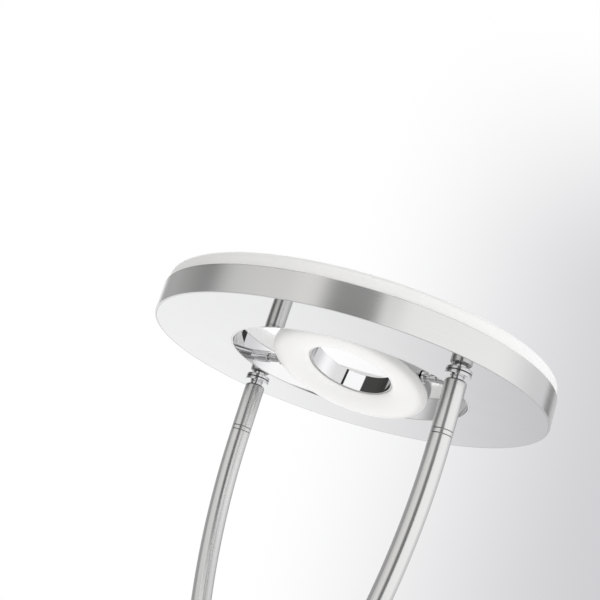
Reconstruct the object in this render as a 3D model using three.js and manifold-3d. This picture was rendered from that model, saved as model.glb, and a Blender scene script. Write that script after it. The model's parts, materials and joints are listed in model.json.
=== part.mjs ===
// Torchiere floor lamp with a ring-shaped uplight head and a tilting ring-shaped reading light.
// Two bowed tubes carry the head and come together into a narrow stem over a weighted base.
// Units are millimetres, +Z is up, and the origin is on the floor under the middle of the lamp.
import * as THREE from "three";
import { mergeVertices } from "three/addons/utils/BufferGeometryUtils.js";
import Module from "manifold-3d";

const wasm = await Module();
wasm.setup();

// ---- Driving dimensions ----
const gap = 0.3; // air between two pieces that touch in the real lamp
const lampHeight = 1800;

// Head: a flat ring
const headRadius = 155;
const openingRadius = 92.7;
const rimHeight = 21.3;
const rimWall = 1.4;
const undersideThickness = 1.5;
const linerWall = 1.3;
const linerHeight = 18.5;
const ledgeTop = 13.2; // height of the two ledges that carry the LED carrier
const ledgeThickness = 1.2;
const rimLedgeWidth = 13;
const linerLedgeWidth = 8;
const carrierThickness = 1.5;
const boardThickness = 1.6;
const boardMargin = { inner: 15, outer: 5.5 }; // from the liner, and from the carrier screws' heads
const diffuserRise = 11.7; // how far the opal ring stands above the rim
const diffuserWall = 2.2;
const diffuserOuterFillet = 5;
const diffuserInnerFillet = 7;
const carrierScrewCount = 3;
const screwRadius = 1.5;
const screwHeadRadius = 2.7;
const screwHeadHeight = 2.2;

// Poles
const poleRadius = 8;
const poleWall = 1.2;
const poleInset = 2.8; // the poles stand this far inside the middle of the head's ring
const bendRadius = 450;
const neckRadius = 4.8;
const neckBore = 3;
const neckGap = 2.8; // bare neck between flange and sleeve
const neckFlangeRadius = 9.5;
const neckFlangeThickness = 2.4;
const neckNutRadius = 9;
const neckNutHeight = 5;
const sleeveLength = 37;
const sleeveBoss = 12; // solid top of the sleeve that the neck screws into
const sleeveChamfer = 1.2;
const couplingBand = 3.1; // visible band between two tubes
const couplingSpigot = 8; // hidden length in each tube
const couplingBore = 4;
const spigotClearance = 0.5; // the bend begins inside the top tube, over the spigot's end
const bendStartDrop = 2.5; // straight stub between the first coupling and the bend
const upperTubeTail = 27.3; // straight stub below the bends
const leadRadius = 2.2;

// Control box
const controlDrop = 173; // middle of the box below the top of the middle tubes
const controlSide = 4.7; // wall beside each tube
const controlRib = 1.7; // wall between each tube and the cavity
const controlDepth = 30;
const controlLength = 70;
const controlWall = 3;
const knobRadius = 10;
const knobLength = 13;
const knobSpacing = 34;
const knobStemRadius = 2.3;
const dimmerSize = 17;
const dimmerRoom = 1.5;
const dimmerDepth = 9;

// Base
const baseRadius = 140;
const baseHeight = 28;
const baseFillet = 9;
const coverWall = 1.2;
const footHeight = 2.7;
const footInset = 6;
const footWidth = 18;
const ballastThickness = 16;
const ballastMargin = 1.3; // between the ballast and the cover wall
const collarWall = 5;
const collarHeight = 7.7;
const collarFloor = 1.5;
const studBore = 3.5;
const studInTube = 25;
const poleNutWall = 3.6;
const poleNutHeight = 4.8;
const driverCase = { width: 128, depth: 42, height: 15, wall: 1.6 };
const driverRoom = 4; // between the driver's case and its pocket
const pocketWall = 16.6; // iron between the pocket's outer corners and the ballast's edge
const hatchThickness = 1.5;
const grommetHeight = 11;
const grommetRadius = 5;
const grommetFlangeRadius = 7;
const grommetBore = 3.4;

// Reading light: a smaller ring that tilts in the opening of the head
const pivotAzimuth = THREE.MathUtils.degToRad(200);
const pivotHeight = 7.2; // above the underside of the head
const restTilt = THREE.MathUtils.degToRad(12);
const readingRadius = 62.8;
const readingBore = 32.5;
const readingWall = 1.2;
const readingSkirt = { low: -3.8, high: 6 }; // outer wall, from the pivot line
const readingBack = 12.5; // back face above the pivot line
const readingChamfer = 6.3; // how far the back face steps in from the outer wall
const readingBoreLow = -2.1;
const readingDome = 5.2;
const readingBoard = { innerMargin: 3.5, outerMargin: 5.8, z: 5.4 }; // from the bore and the outer wall
const pivotPinRadius = 2.5;
const pivotPinBore = 1.3;
const pivotSleeveRadius = 4.5;
const pivotReach = 14.7; // from the reading ring's wall to the sleeve
const pivotCollar = { radius: 3.6, length: 5.5, offset: 6.7 };
const pivotFlange = { radius: 5.2, length: 2, offset: 0.6 };
const pivotRivet = { radius: 3.8, length: 3.5 };
const pivotNutRadius = 4.27;
const pivotNutHeight = 4;

// ---- Places worked out from them ----
const headZ = lampHeight - rimHeight - diffuserRise; // underside of the head
const tubeBore = poleRadius - poleWall;
const rimInner = headRadius - rimWall;
const linerOuter = openingRadius + linerWall;
const carrierZ = ledgeTop + gap;
const carrierTop = carrierZ + carrierThickness;
const screwCircle = rimInner - rimLedgeWidth / 2;
const flangeBottom = -gap - neckFlangeThickness;
const sleeveTop = flangeBottom - neckGap;
const sleeveBottom = sleeveTop - sleeveLength;
const headPoleX = (rimInner + linerOuter) / 2 - poleInset;
const controlCavity = dimmerSize / 2 + dimmerRoom; // half its width
const basePoleX = controlCavity + controlRib + gap + poleRadius;
const controlWidth = 2 * (basePoleX + poleRadius + gap + controlSide);
const jointHeight = couplingBand + 2 * gap;
const upperTubeTop = headZ + sleeveBottom - jointHeight;
const bendTop = upperTubeTop - bendStartDrop;
const bendShift = headPoleX - basePoleX; // sideways run of one pole
const bendAngle = Math.acos(1 - bendShift / (2 * bendRadius));
const bendDrop = bendRadius * Math.sin(bendAngle);
const bendLength = bendRadius * bendAngle;
const upperTubeBottom = bendTop - 2 * bendDrop - upperTubeTail;
const baseTop = baseHeight;
const coverBottom = footHeight + gap;
const collarZ = baseTop + gap;
const lowerTubeBottom = collarZ + collarFloor + gap;
const middleTubeTop = upperTubeBottom - jointHeight;
const lowerTubeTop = (middleTubeTop + lowerTubeBottom - jointHeight) / 2;
const middleTubeBottom = lowerTubeTop + jointHeight;
const controlHeight = middleTubeTop - controlDrop;
const collarRadius = poleRadius + collarWall;
const poleNutRadius = tubeBore + poleNutWall;
const ballastRadius = baseRadius - coverWall - ballastMargin;
const footOuter = baseRadius - footInset;
const pocketWidth = driverCase.width + 2 * driverRoom;
const pocketDepth = driverCase.depth + 2 * driverRoom;
const pocketOuterY = Math.sqrt((ballastRadius - pocketWall) ** 2 - (pocketWidth / 2) ** 2);
const driverY = pocketOuterY - pocketDepth / 2;
const readingBackRadius = readingRadius - readingChamfer;

// ---- Finishes ----
const finish = (color, roughness, metalness) => new THREE.MeshStandardMaterial({ color, roughness, metalness });
const satinNickel = () => finish(0xb9b6b2, 0.34, 1);
const polishedChrome = () => finish(0xe4e5e8, 0.06, 1);
const opalAcrylic = () => finish(0xf5f5f6, 0.4, 0);
const aluminium = () => finish(0xc4c7ca, 0.5, 1);
const castIron = () => finish(0x3d3e40, 0.8, 0.6);
const zincSteel = () => finish(0xa8aaad, 0.45, 1);
const boardWhite = () => finish(0xe9eae6, 0.6, 0);
const blackPlastic = () => finish(0x1d1e20, 0.55, 0);
const blackRubber = () => finish(0x161617, 0.85, 0);

// ---- Shape helpers ----
// Sides of a round piece, by its size: a screw, a tube, the reading ring, the head and the base.
const tiny = 10;
const small = 16;
const medium = 32;
const large = 44;

// A profile of [radius, height] points turned about Z; it runs anticlockwise with radius to the right.
function turned(profile, segments = small) {
  const points = profile.map(([r, z]) => new THREE.Vector2(r, z));
  return new THREE.LatheGeometry(points, segments).rotateX(Math.PI / 2);
}

function ring(inner, outer, low, high, segments = small) {
  return turned([[outer, low], [outer, high], [inner, high], [inner, low], [outer, low]], segments);
}

function rod(radius, low, high, segments = small) {
  return turned([[0, low], [radius, low], [radius, high], [0, high]], segments);
}

// A quarter arc as profile points, from one angle to another about a centre.
function arc(r, z, radius, from, to, steps = 2) {
  return Array.from({ length: steps + 1 }, (_, i) => {
    const a = THREE.MathUtils.degToRad(from + ((to - from) * i) / steps);
    return [r + radius * Math.cos(a), z + radius * Math.sin(a)];
  });
}

function box(width, depth, height, x, y, z) {
  return new THREE.BoxGeometry(width, depth, height).translate(x, y, z);
}

function solidOf(geometry) {
  const bare = geometry.clone();
  bare.deleteAttribute("normal");
  bare.deleteAttribute("uv");
  const merged = mergeVertices(bare, 1e-4);
  const vertProperties = new Float32Array(merged.attributes.position.array);
  const triVerts = new Uint32Array(merged.index.array);
  return new wasm.Manifold(new wasm.Mesh({ numProp: 3, vertProperties, triVerts }));
}

function geometryOf(solid) {
  const { vertProperties, triVerts } = solid.getMesh();
  const geometry = new THREE.BufferGeometry();
  geometry.setAttribute("position", new THREE.BufferAttribute(new Float32Array(vertProperties), 3));
  geometry.setIndex(new THREE.BufferAttribute(new Uint32Array(triVerts), 1));
  geometry.computeVertexNormals();
  return geometry;
}

const cut = (body, ...tools) =>
  geometryOf(tools.reduce((left, tool) => left.subtract(solidOf(tool)), solidOf(body)));
const join = (body, ...others) =>
  geometryOf(others.reduce((sum, other) => sum.add(solidOf(other)), solidOf(body)));
const common = (body, other) => geometryOf(solidOf(body).intersect(solidOf(other)));

const onCircle = (radius, angle) => [radius * Math.cos(angle), radius * Math.sin(angle)];
const alongX = (geometry) => geometry.rotateY(Math.PI / 2); // +Z becomes +X
const alongY = (geometry) => geometry.rotateX(-Math.PI / 2); // +Z becomes +Y

const lamp = new THREE.Group();
function add(group, name, geometry, material) {
  const mesh = new THREE.Mesh(geometry, material);
  mesh.name = name;
  group.add(mesh);
}

// Identical LED packages standing on one face of an annular board.
function ledChips(count, radius, low, high) {
  return Array.from({ length: count }, (_, i) => {
    const angle = ((i + 0.5) * 2 * Math.PI) / count;
    const [x, y] = onCircle(radius, angle);
    return new THREE.BoxGeometry(2.8, 3.5, high - low).rotateZ(angle).translate(x, y, (low + high) / 2);
  });
}

// ---- Head ----
const head = new THREE.Group();
head.position.z = headZ;
lamp.add(head);

const screwAngles = Array.from({ length: carrierScrewCount }, (_, i) => ((i + 0.5) * 2 * Math.PI) / carrierScrewCount);
const screwHoles = (low, high) =>
  screwAngles.map((angle) => rod(screwRadius + gap, low, high, tiny).translate(...onCircle(screwCircle, angle), 0));
const atBothNecks = (make) => [-headPoleX, headPoleX].map((x) => make().translate(x, 0, 0));

function rimBand() {
  const ledgeInner = rimInner - rimLedgeWidth;
  const ledgeBottom = ledgeTop - ledgeThickness;
  const profile = [
    [headRadius, 0], [headRadius, rimHeight], [rimInner, rimHeight], [rimInner, ledgeTop],
    [ledgeInner, ledgeTop], [ledgeInner, ledgeBottom], [rimInner, ledgeBottom], [rimInner, 0], [headRadius, 0],
  ];
  return cut(turned(profile, large), ...screwHoles(ledgeBottom - 1, ledgeTop + 1));
}

function undersidePlate() {
  const plate = ring(linerOuter + gap, rimInner - gap, 0, undersideThickness, large);
  return cut(plate, ...atBothNecks(() => rod(neckRadius + gap, -1, undersideThickness + 1)));
}

function openingLiner() {
  const ledgeOuter = linerOuter + linerLedgeWidth;
  const ledgeBottom = ledgeTop - ledgeThickness;
  const profile = [
    [linerOuter, 0], [linerOuter, ledgeBottom], [ledgeOuter, ledgeBottom], [ledgeOuter, ledgeTop],
    [linerOuter, ledgeTop], [linerOuter, linerHeight], [openingRadius, linerHeight], [openingRadius, 0],
    [linerOuter, 0],
  ];
  const pivotHole = alongX(rod(pivotPinRadius + gap, -headRadius, headRadius))
    .rotateZ(pivotAzimuth)
    .translate(0, 0, pivotHeight);
  return cut(turned(profile, large), pivotHole);
}

function ledCarrier() {
  const plate = ring(linerOuter + gap, rimInner - gap, carrierZ, carrierTop, large);
  const leadHoles = atBothNecks(() => rod(leadRadius + 1, carrierZ - 1, carrierTop + 1, tiny));
  return cut(plate, ...screwHoles(carrierZ - 1, carrierTop + 1), ...leadHoles);
}

function uplightBoard() {
  const low = carrierTop + gap;
  const high = low + boardThickness;
  const inner = linerOuter + boardMargin.inner;
  const outer = screwCircle - screwHeadRadius - boardMargin.outer;
  const board = ring(inner, outer, low, high, medium);
  return join(board, ...ledChips(16, (inner + outer) / 2, high - 0.4, high + 0.8));
}

function opalRing() {
  const outer = rimInner - gap - 0.2;
  const top = rimHeight + diffuserRise;
  const outerCentre = [outer - diffuserOuterFillet, top - diffuserOuterFillet];
  const innerCentre = [openingRadius + diffuserInnerFillet, top - diffuserInnerFillet];
  const outerLow = carrierTop + gap;
  const innerLow = linerHeight + gap;
  return turned([
    [outer, outerLow],
    ...arc(...outerCentre, diffuserOuterFillet, 0, 90),
    ...arc(...innerCentre, diffuserInnerFillet, 90, 180),
    [openingRadius, innerLow],
    [openingRadius + diffuserWall, innerLow],
    ...arc(...innerCentre, diffuserInnerFillet - diffuserWall, 180, 90),
    ...arc(...outerCentre, diffuserOuterFillet - diffuserWall, 90, 0),
    [outer - diffuserWall, outerLow],
    [outer, outerLow],
  ], large);
}

function carrierScrew() {
  const headLow = carrierTop + gap;
  return turned([
    [0, ledgeTop - 5], [screwRadius, ledgeTop - 5], [screwRadius, headLow], [screwHeadRadius, headLow],
    [screwHeadRadius, headLow + screwHeadHeight * 0.6], [screwRadius, headLow + screwHeadHeight],
    [0, headLow + screwHeadHeight],
  ], tiny);
}

add(head, "head_rim", rimBand(), satinNickel());
add(head, "underside_plate", undersidePlate(), polishedChrome());
add(head, "opening_liner", openingLiner(), polishedChrome());
add(head, "led_carrier", ledCarrier(), aluminium());
add(head, "uplight_led_board", uplightBoard(), boardWhite());
add(head, "opal_diffuser", opalRing(), opalAcrylic());
screwAngles.forEach((angle, i) => {
  const screw = carrierScrew().translate(...onCircle(screwCircle, angle), 0);
  add(head, `carrier_screw_${i + 1}`, screw, zincSteel());
});

// ---- Poles, each from its neck in the head down to the base ----
// A point on a pole's centre line, by length along it from the top of the upper bend.
function polePoint(side, length) {
  const inLower = length > bendLength;
  const angle = inLower ? 2 * bendAngle - length / bendRadius : length / bendRadius;
  let shift = bendRadius * (1 - Math.cos(angle));
  let drop = bendRadius * Math.sin(angle);
  if (inLower) {
    shift = bendShift - shift;
    drop = 2 * bendDrop - drop;
  }
  if (length < 0) {
    shift = 0;
    drop = length;
  }
  if (length > 2 * bendLength) {
    shift = bendShift;
    drop = 2 * bendDrop + length - 2 * bendLength;
  }
  return new THREE.Vector3(side * (headPoleX - shift), 0, bendTop - drop);
}

class PoleLine extends THREE.Curve {
  constructor(side, top, bottom) {
    super();
    this.side = side;
    this.from = bendTop - top;
    this.to = 2 * bendLength + (bendTop - 2 * bendDrop - bottom);
  }

  getPoint(t) {
    return polePoint(this.side, this.from + (this.to - this.from) * t);
  }
}

function alongPole(section, line, steps, curveSegments) {
  return new THREE.ExtrudeGeometry(section, { steps, curveSegments, bevelEnabled: false, extrudePath: line });
}

function disc(radius, bore) {
  const shape = new THREE.Shape().absarc(0, 0, radius, 0, 2 * Math.PI);
  if (bore) shape.holes.push(new THREE.Path().absarc(0, 0, bore, 0, 2 * Math.PI, true));
  return shape;
}

const neck = () => ring(neckBore, neckRadius, sleeveTop - sleeveBoss, undersideThickness + neckNutHeight + 3);

function neckFlange() {
  const seat = ring(neckRadius + gap, neckFlangeRadius, flangeBottom, -gap);
  const screwHole = rod(1.2, flangeBottom - 1, 0, tiny);
  const holeCircle = (neckRadius + neckFlangeRadius) / 2;
  return cut(seat, screwHole.translate(...onCircle(holeCircle, THREE.MathUtils.degToRad(293)), 0));
}

function hexNut(radius, bore, low, high) {
  return cut(rod(radius, low, high, 6), rod(bore, low - 1, high + 1));
}

function poleSleeve() {
  return turned([
    [poleRadius, sleeveBottom], [poleRadius, sleeveTop - sleeveChamfer], [poleRadius - sleeveChamfer, sleeveTop],
    [neckRadius + gap, sleeveTop], [neckRadius + gap, sleeveTop - sleeveBoss - gap],
    [tubeBore, sleeveTop - sleeveBoss - gap], [tubeBore, sleeveBottom], [poleRadius, sleeveBottom],
  ]);
}

// A turned coupling: a band that shows between two tubes, with a spigot up and a spigot down.
function coupling(jointTop) {
  const high = jointTop - gap;
  const low = high - couplingBand;
  const spigot = tubeBore - spigotClearance;
  return turned([
    [spigot, low - couplingSpigot], [spigot, low], [poleRadius, low], [poleRadius, high],
    [spigot, high], [spigot, high + couplingSpigot], [couplingBore, high + couplingSpigot],
    [couplingBore, low - couplingSpigot], [spigot, low - couplingSpigot],
  ]);
}

function middleTube(side) {
  const tube = ring(tubeBore, poleRadius, middleTubeBottom, middleTubeTop);
  const leadHole = alongX(rod(leadRadius + 0.4, 0, 2 * poleRadius, tiny)).translate(0, 0, controlHeight);
  return cut(tube, side > 0 ? leadHole.rotateZ(Math.PI) : leadHole);
}

function poleCollar() {
  return turned([
    [collarRadius, collarZ], [collarRadius, collarZ + collarHeight - 1.5], [collarRadius - 1.5, collarZ + collarHeight],
    [poleRadius + gap, collarZ + collarHeight], [poleRadius + gap, collarZ + collarFloor],
    [tubeBore, collarZ + collarFloor], [tubeBore, collarZ], [collarRadius, collarZ],
  ]);
}

for (const [side, hand] of [[-1, "left"], [1, "right"]]) {
  const top = new THREE.Group();
  top.position.set(side * headPoleX, 0, headZ);
  const stem = new THREE.Group();
  stem.position.x = side * basePoleX;
  lamp.add(top, stem);
  const nutLow = undersideThickness + gap;
  const leadTop = headZ + undersideThickness + neckNutHeight + 4;

  add(top, `neck_${hand}`, neck(), polishedChrome());
  add(top, `neck_flange_${hand}`, neckFlange(), polishedChrome());
  add(top, `neck_nut_${hand}`, hexNut(neckNutRadius, neckRadius + gap, nutLow, nutLow + neckNutHeight), zincSteel());
  add(top, `pole_sleeve_${hand}`, poleSleeve(), satinNickel());
  add(top, `head_coupling_${hand}`, coupling(sleeveBottom), satinNickel());
  const upperLine = new PoleLine(side, upperTubeTop, upperTubeBottom);
  add(lamp, `upper_tube_${hand}`, alongPole(disc(poleRadius, tubeBore), upperLine, 20, 7), satinNickel());
  add(stem, `upper_coupling_${hand}`, coupling(upperTubeBottom), satinNickel());
  add(stem, `middle_tube_${hand}`, middleTube(side), satinNickel());
  add(stem, `lower_coupling_${hand}`, coupling(middleTubeBottom), satinNickel());
  add(stem, `lower_tube_${hand}`, ring(tubeBore, poleRadius, lowerTubeBottom, lowerTubeTop), satinNickel());
  add(stem, `pole_collar_${hand}`, poleCollar(), polishedChrome());
  const studTop = lowerTubeBottom + studInTube;
  add(stem, `pole_stud_${hand}`, ring(studBore, tubeBore - gap, coverBottom + 1, studTop), zincSteel());
  const poleNut = hexNut(poleNutRadius, tubeBore, coverBottom + 1.2, coverBottom + 1.2 + poleNutHeight);
  add(stem, `pole_nut_${hand}`, poleNut, zincSteel());
  const leadLine = new PoleLine(side, leadTop, coverBottom + 3);
  add(lamp, `supply_lead_${hand}`, alongPole(disc(leadRadius), leadLine, 32, 4), blackPlastic());
}

// ---- Control box on the stem, with one dimmer for each light ----
function controlBlock() {
  const [w, d, r] = [controlWidth / 2, controlDepth / 2, controlDepth / 2 - 2];
  const outline = new THREE.Shape();
  outline.absarc(w - r, d - r, r, 0, Math.PI / 2);
  outline.absarc(-w + r, d - r, r, Math.PI / 2, Math.PI);
  outline.absarc(-w + r, -d + r, r, Math.PI, 1.5 * Math.PI);
  outline.absarc(w - r, -d + r, r, 1.5 * Math.PI, 2 * Math.PI);
  const block = new THREE.ExtrudeGeometry(outline, { depth: controlLength, bevelEnabled: false, curveSegments: 4 });
  return block.translate(0, 0, controlHeight - controlLength / 2);
}

const knobHeights = { uplight: controlHeight + knobSpacing / 2, reading: controlHeight - knobSpacing / 2 };
const controlFront = -controlDepth / 2;

function controlHalf(front) {
  const cavityDepth = controlDepth - 2 * controlWall;
  const cavity = box(2 * controlCavity, cavityDepth, controlLength - 2 * controlWall, 0, 0, controlHeight);
  const low = controlHeight - controlLength;
  const high = controlHeight + controlLength;
  const channels = [-basePoleX, basePoleX].map((x) => rod(poleRadius + gap, low, high).translate(x, 0, 0));
  const stems = Object.values(knobHeights).map((z) =>
    alongY(rod(knobStemRadius + gap, controlFront - 1, controlFront + controlWall + 1)).translate(0, 0, z));
  const whole = cut(controlBlock(), cavity, ...channels, ...(front ? stems : []));
  const reach = 2 * controlWidth;
  const y = (front ? -1 : 1) * (reach / 2 + gap / 2);
  return common(whole, box(reach, reach, reach, 0, y, controlHeight));
}

function dimmer(z) {
  const y = controlFront + controlWall + gap + dimmerDepth / 2;
  const bore = alongY(rod(knobStemRadius + gap, -dimmerDepth, dimmerDepth)).translate(0, y, z);
  return cut(box(dimmerSize, dimmerDepth, dimmerSize, 0, y, z), bore);
}

// The knob's own stem plugs into the hollow rotor of the dimmer behind it.
function knob(z) {
  const stem = controlWall + dimmerDepth - 1;
  const body = turned([
    [0, -stem], [knobStemRadius, -stem], [knobStemRadius, gap], [knobRadius, gap],
    [knobRadius, knobLength - 2], ...arc(knobRadius - 2, knobLength - 2, 2, 0, 90, 2), [0, knobLength],
  ], 24);
  const pointer = box(1.2, knobRadius - 3, 1.6, 0, (knobRadius - 3) / 2 + 2.5, knobLength);
  return cut(body, pointer).rotateX(Math.PI / 2).translate(0, controlFront, z);
}

add(lamp, "control_front", controlHalf(true), satinNickel());
add(lamp, "control_back", controlHalf(false), satinNickel());
for (const [light, z] of Object.entries(knobHeights)) {
  add(lamp, `${light}_dimmer`, dimmer(z), blackPlastic());
  add(lamp, `${light}_knob`, knob(z), polishedChrome());
}

// ---- Base ----
const ballastTop = coverBottom + ballastThickness;

function baseCover() {
  const inner = baseRadius - coverWall;
  const ceiling = baseTop - coverWall;
  const filletR = baseRadius - baseFillet;
  const filletZ = baseTop - baseFillet;
  const shell = turned([
    [0, ceiling],
    ...arc(filletR, filletZ, baseFillet - coverWall, 90, 0),
    [inner, coverBottom], [baseRadius, coverBottom],
    ...arc(filletR, filletZ, baseFillet, 0, 90),
    [0, baseTop],
  ], large);
  const studHoles = [-basePoleX, basePoleX].map((x) => rod(tubeBore, ceiling - 1, baseTop + 1).translate(x, 0, 0));
  const inlet = alongY(rod(grommetRadius + gap, baseRadius - 6, baseRadius + 2)).translate(0, 0, grommetHeight);
  return cut(shell, ...studHoles, inlet);
}

function ballast() {
  const body = rod(ballastRadius, coverBottom, ballastTop, large);
  const through = 2 * ballastThickness + 4;
  const pocket = box(pocketWidth, pocketDepth, through, 0, driverY, ballastTop);
  const rear = baseRadius - driverY;
  const inletSlot = box(2 * grommetFlangeRadius + 2, rear, through, 0, driverY + rear / 2, ballastTop);
  const nutDepth = poleNutHeight + 1.2 + gap;
  const bottom = coverBottom;
  const poleCuts = [-basePoleX, basePoleX].flatMap((x) => [
    rod(tubeBore, bottom - 1, ballastTop + 1).translate(x, 0, 0),
    rod(poleNutRadius + 1.1, bottom - 1, bottom + nutDepth, 24).translate(x, 0, 0),
    box(2 * leadRadius + 2, driverY, 2 * nutDepth - 2, x, driverY / 2, bottom),
  ]);
  return cut(body, pocket, inletSlot, ...poleCuts);
}

function driverTray() {
  const { width, depth, height, wall } = driverCase;
  const low = coverBottom + hatchThickness + gap;
  const tray = box(width, depth, height, 0, driverY, low + height / 2);
  return cut(tray, box(width - 2 * wall, depth - 2 * wall, height, 0, driverY, low + height / 2 + wall));
}

// The circuit board of the driver, with its transformer, capacitors, choke and terminal block.
function driverBoard() {
  const { width, depth, wall } = driverCase;
  const low = coverBottom + hatchThickness + gap + wall + gap;
  const top = low + boardThickness;
  const board = box(width - 2 * wall - 2, depth - 2 * wall - 2, boardThickness, 0, driverY, low + boardThickness / 2);
  const onBoard = (w, d, h, x, dy) => box(w, d, h + 0.4, x, driverY + dy, top + h / 2 - 0.2);
  const capacitors = [-46, -32].map((x) => rod(5, top - 0.4, top + 8.5).translate(x, driverY + 6, 0));
  return join(board, onBoard(26, 24, 9, 0, 2), onBoard(14, 14, 8, 28, 6), onBoard(12, 28, 7.5, 50, 0),
    onBoard(30, 6, 4, -38, -10), ...capacitors);
}

function cableGrommet() {
  const wallIn = baseRadius - coverWall - 2 * gap;
  const wallOut = baseRadius + gap;
  const profile = [
    [grommetFlangeRadius, wallIn - 2], [grommetFlangeRadius, wallIn], [grommetRadius, wallIn],
    [grommetRadius, wallOut], [grommetFlangeRadius, wallOut], [grommetFlangeRadius - 0.8, wallOut + 2.2],
    [grommetBore, wallOut + 2.2], [grommetBore, wallIn - 2], [grommetFlangeRadius, wallIn - 2],
  ];
  return alongY(turned(profile)).translate(0, 0, grommetHeight);
}

function driverHatch() {
  const z = coverBottom + hatchThickness / 2;
  return box(pocketWidth - 2 * gap, pocketDepth - 2 * gap, hatchThickness, 0, driverY, z);
}

add(lamp, "base_cover", baseCover(), satinNickel());
add(lamp, "base_ballast", ballast(), castIron());
add(lamp, "foot_ring", ring(footOuter - footWidth, footOuter, 0, footHeight, large), blackRubber());
add(lamp, "driver_hatch", driverHatch(), blackPlastic());
add(lamp, "driver_case", driverTray(), blackPlastic());
add(lamp, "driver_board", driverBoard(), boardWhite());
add(lamp, "cable_grommet", cableGrommet(), blackRubber());

// ---- Reading light: its pivots stay with the head, the ring tilts about their line ----
const pivot = new THREE.Group();
pivot.position.z = headZ + pivotHeight;
pivot.rotation.z = pivotAzimuth;
const tilting = new THREE.Group();
tilting.rotation.x = restTilt;
pivot.add(tilting);
lamp.add(pivot);

function readingHousing() {
  const { low, high } = readingSkirt;
  const inner = readingRadius - readingWall;
  const boreSide = readingBore + readingWall + gap;
  const ceiling = readingBack - readingWall;
  const shell = turned([
    [readingRadius, low], [readingRadius, high], [readingBackRadius, readingBack], [boreSide, readingBack],
    [boreSide, ceiling], [readingBackRadius - 0.5, ceiling], [inner, high - 0.5], [inner, low],
    [readingRadius, low],
  ], medium);
  return cut(shell, alongX(rod(pivotPinRadius + gap, -readingRadius - 1, readingRadius + 1)));
}

// The opal cover is domed across the ring, with full shoulders, and its inner edge is the higher one.
function readingOpal() {
  const inner = readingBore + readingWall + gap;
  const outer = readingRadius - 0.2;
  const innerEdge = readingBoreLow - gap;
  const outerEdge = readingSkirt.low - gap;
  const middle = (inner + outer) / 2;
  const steps = 6;
  const fullness = 2 / 2.5; // exponent of the rounded section
  const section = (wall) => Array.from({ length: steps + 1 }, (_, i) => {
    const a = Math.PI * (1 - i / steps);
    const c = Math.cos(a);
    const r = middle + Math.sign(c) * Math.abs(c) ** fullness * ((outer - inner) / 2 - wall);
    const edge = innerEdge + ((outerEdge - innerEdge) * (r - inner)) / (outer - inner);
    return [r, edge - (i % steps ? Math.sin(a) ** fullness * (readingDome - wall) : 0)];
  });
  const front = section(0);
  const back = section(2).reverse();
  return turned([...front, ...back, front[0]], medium);
}

function readingBoardPiece() {
  const inner = readingBore + readingBoard.innerMargin;
  const outer = readingRadius - readingBoard.outerMargin;
  const z = readingBoard.z;
  const board = ring(inner, outer, z, z + boardThickness, medium);
  return join(board, ...ledChips(12, (inner + outer) / 2, z - 0.8, z + 0.4));
}

// A hollow turned pin, riveted in the ring's wall, that runs through the fixed sleeve into the head.
function pivotPin() {
  const wallIn = readingRadius - readingWall - gap;
  const flangeIn = readingRadius + pivotFlange.offset;
  const flangeOut = flangeIn + pivotFlange.length;
  const collarIn = readingRadius + pivotCollar.offset;
  const collarOut = collarIn + pivotCollar.length;
  const end = linerOuter + gap + pivotNutHeight + 3;
  const r = pivotPinRadius;
  return alongX(turned([
    [pivotRivet.radius, wallIn - pivotRivet.length], [pivotRivet.radius, wallIn - 0.1], [r, wallIn - 0.1],
    [r, flangeIn], [pivotFlange.radius, flangeIn], [pivotFlange.radius, flangeOut], [r, flangeOut],
    [r, collarIn], [pivotCollar.radius, collarIn], [pivotCollar.radius, collarOut], [r, collarOut],
    [r, end], [pivotPinBore, end], [pivotPinBore, wallIn - pivotRivet.length],
    [pivotRivet.radius, wallIn - pivotRivet.length],
  ]));
}

function pivotSleeve() {
  const outerEnd = openingRadius - gap - 0.2;
  return alongX(ring(pivotPinRadius + gap, pivotSleeveRadius, readingRadius + pivotReach, outerEnd));
}

function pivotNut() {
  const inner = linerOuter + 2 * gap;
  return alongX(hexNut(pivotNutRadius, pivotPinRadius + gap, inner, inner + pivotNutHeight));
}

add(tilting, "reading_housing", readingHousing(), polishedChrome());
const linerLow = readingBoreLow;
const readingLiner = ring(readingBore, readingBore + readingWall, linerLow, readingBack, medium);
add(tilting, "reading_liner", readingLiner, polishedChrome());
add(tilting, "reading_led_board", readingBoardPiece(), boardWhite());
add(tilting, "reading_diffuser", readingOpal(), opalAcrylic());
for (const [turn, hand] of [[0, "left"], [Math.PI, "right"]]) {
  add(tilting, `pivot_pin_${hand}`, pivotPin().rotateZ(turn), polishedChrome());
  add(tilting, `pivot_nut_${hand}`, pivotNut().rotateZ(turn), zincSteel());
  add(pivot, `pivot_sleeve_${hand}`, pivotSleeve().rotateZ(turn), polishedChrome());
}

export default lamp;
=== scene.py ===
import json
import math

import bmesh
import bpy
from mathutils import Matrix, Vector


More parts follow.
